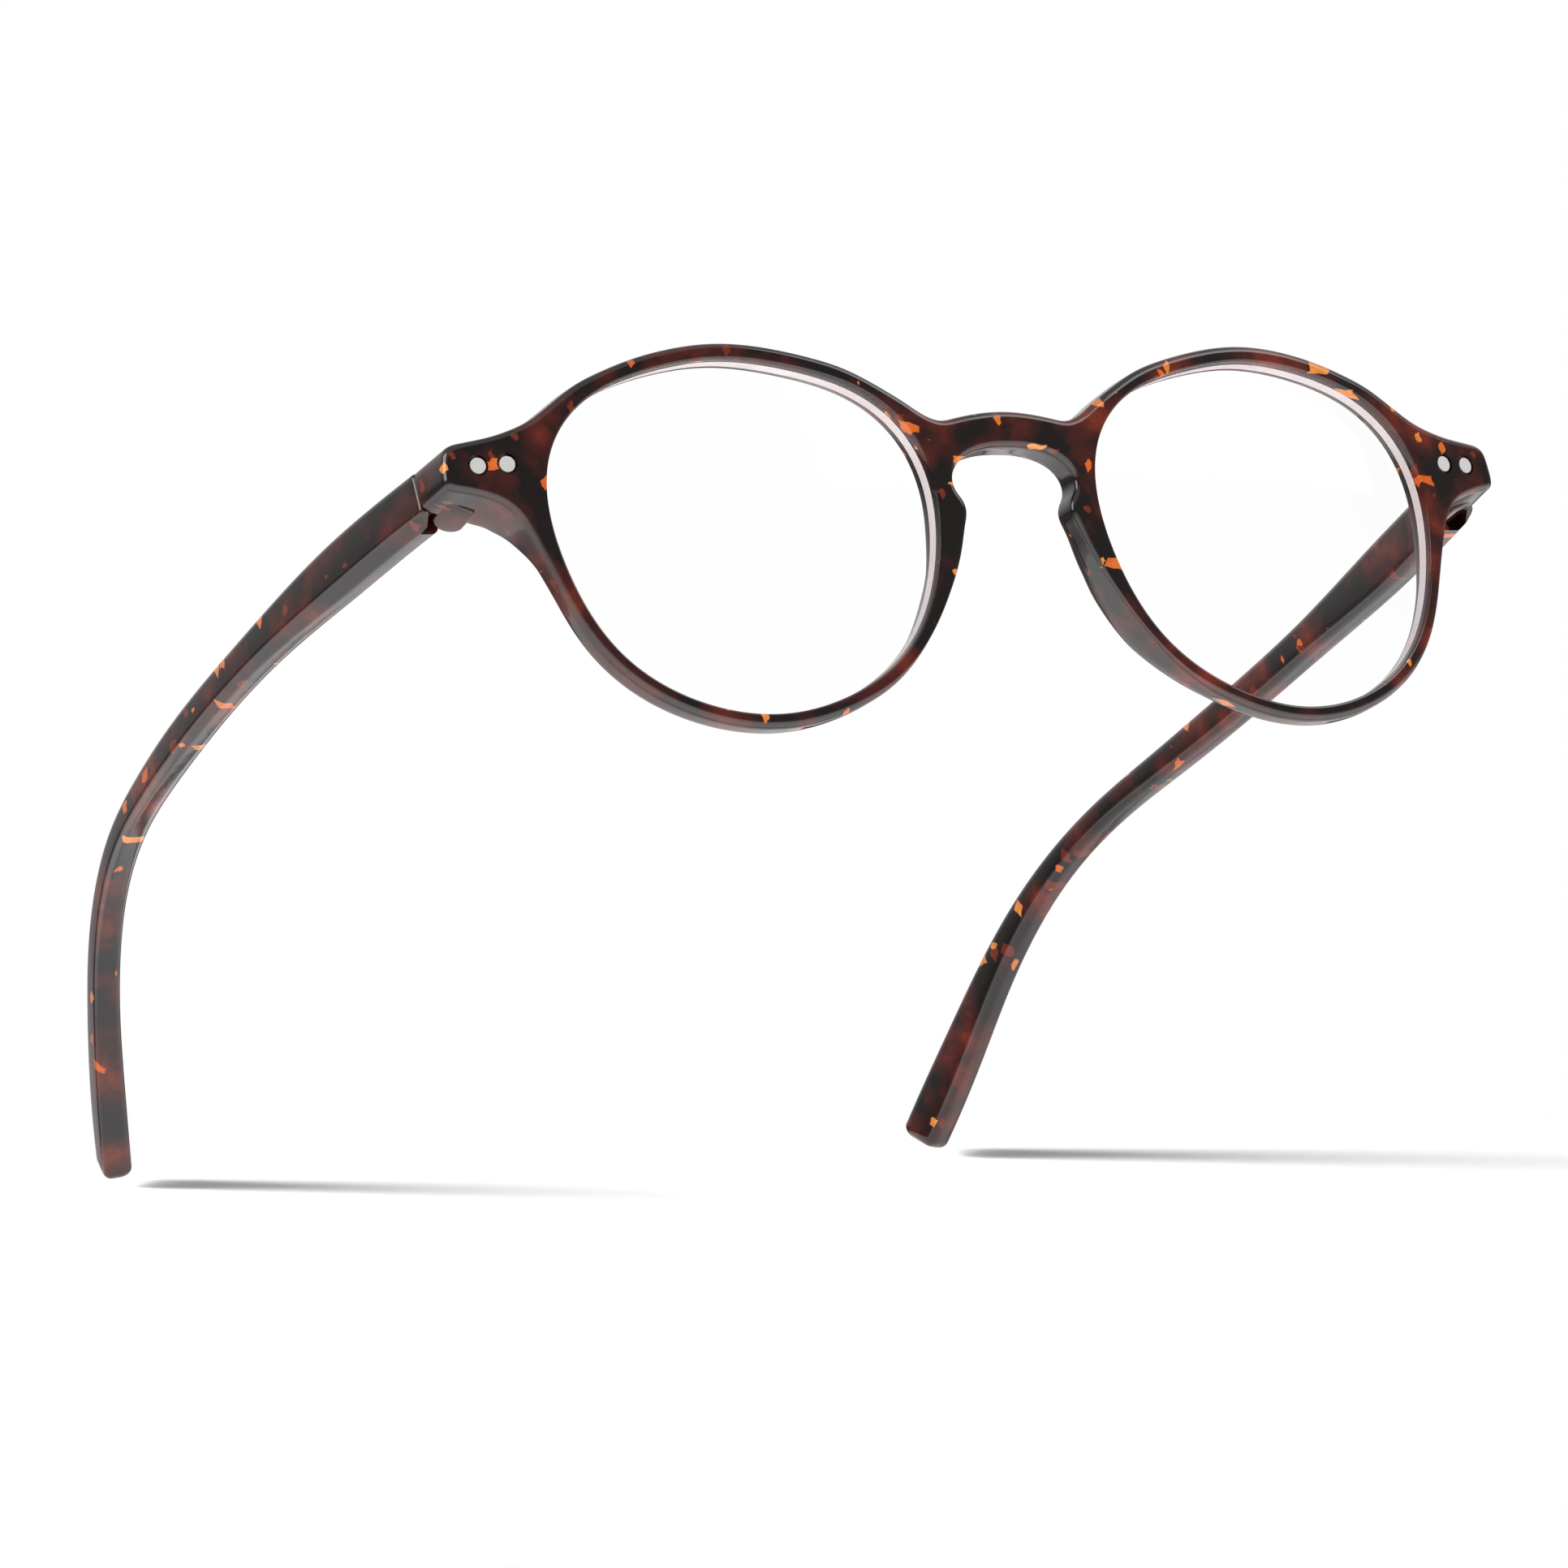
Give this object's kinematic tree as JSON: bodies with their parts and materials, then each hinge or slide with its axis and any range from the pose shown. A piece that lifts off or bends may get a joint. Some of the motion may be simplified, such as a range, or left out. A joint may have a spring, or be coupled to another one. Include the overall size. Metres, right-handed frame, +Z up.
{
  "type": "reading glasses",
  "caption": "Round keyhole-bridge reading glasses in dark tortoiseshell, clear lenses, riveted spring hinges, temples that fold behind the front.",
  "frame": {"origin": "on the table under the middle of the open glasses' box, on the mirror plane", "axes": "+Z up, -Y the way the wearer looks (the front's outer face), +X the wearer's left, temples run towards +Y"},
  "size_m": [0.144, 0.1333, 0.0444],
  "materials": {
    "front_plastic": "polished dark tortoiseshell",
    "temple_plastic": "polished dark tortoiseshell",
    "lens": "clear polished",
    "rivet_steel": "satin",
    "steel": "satin",
    "spring_steel": "drawn wire"
  },
  "bodies": {
    "front": {"front_frame": "front_plastic", "lens_right": "lens", "hinge_leaf_right": "steel", "rivet_inner_right": "rivet_steel", "rivet_outer_right": "rivet_steel", "hinge_screw_right": "steel", "lens_left": "lens", "hinge_leaf_left": "steel", "rivet_inner_left": "rivet_steel", "rivet_outer_left": "rivet_steel", "hinge_screw_left": "steel"},
    "slider_right": {"hinge_slider_right": "steel", "slider_nut_right": "steel"},
    "temple_right": {"temple_right": "temple_plastic", "hinge_housing_right": "steel", "spring_stop_right": "steel", "hinge_spring_right": "spring_steel"},
    "slider_left": {"hinge_slider_left": "steel", "slider_nut_left": "steel"},
    "temple_left": {"temple_left": "temple_plastic", "hinge_housing_left": "steel", "spring_stop_left": "steel", "hinge_spring_left": "spring_steel"}
  },
  "joints": [
    {"name": "temple_fold_right", "type": "hinge", "parent": "front", "child": "slider_right", "pos_m": [-0.06585, -0.05341, 0.0313], "axis": [0, 0, -1], "range_deg": [0, 76]},
    {"name": "flex_slide_right", "type": "slide", "parent": "slider_right", "child": "temple_right", "axis": [-0.1097, 0.994, 0], "range_m": [0, 0.0015], "stiffness_N_per_m": 1200, "springref_m": -0.0006, "deforming": ["hinge_spring_right"]},
    {"name": "temple_fold_left", "type": "hinge", "parent": "front", "child": "slider_left", "pos_m": [0.06585, -0.05341, 0.0313], "axis": [0, 0, 1], "range_deg": [0, 84]},
    {"name": "flex_slide_left", "type": "slide", "parent": "slider_left", "child": "temple_left", "axis": [0.1097, 0.994, 0], "range_m": [0, 0.0015], "stiffness_N_per_m": 1200, "springref_m": -0.0006, "deforming": ["hinge_spring_left"]}
  ]
}
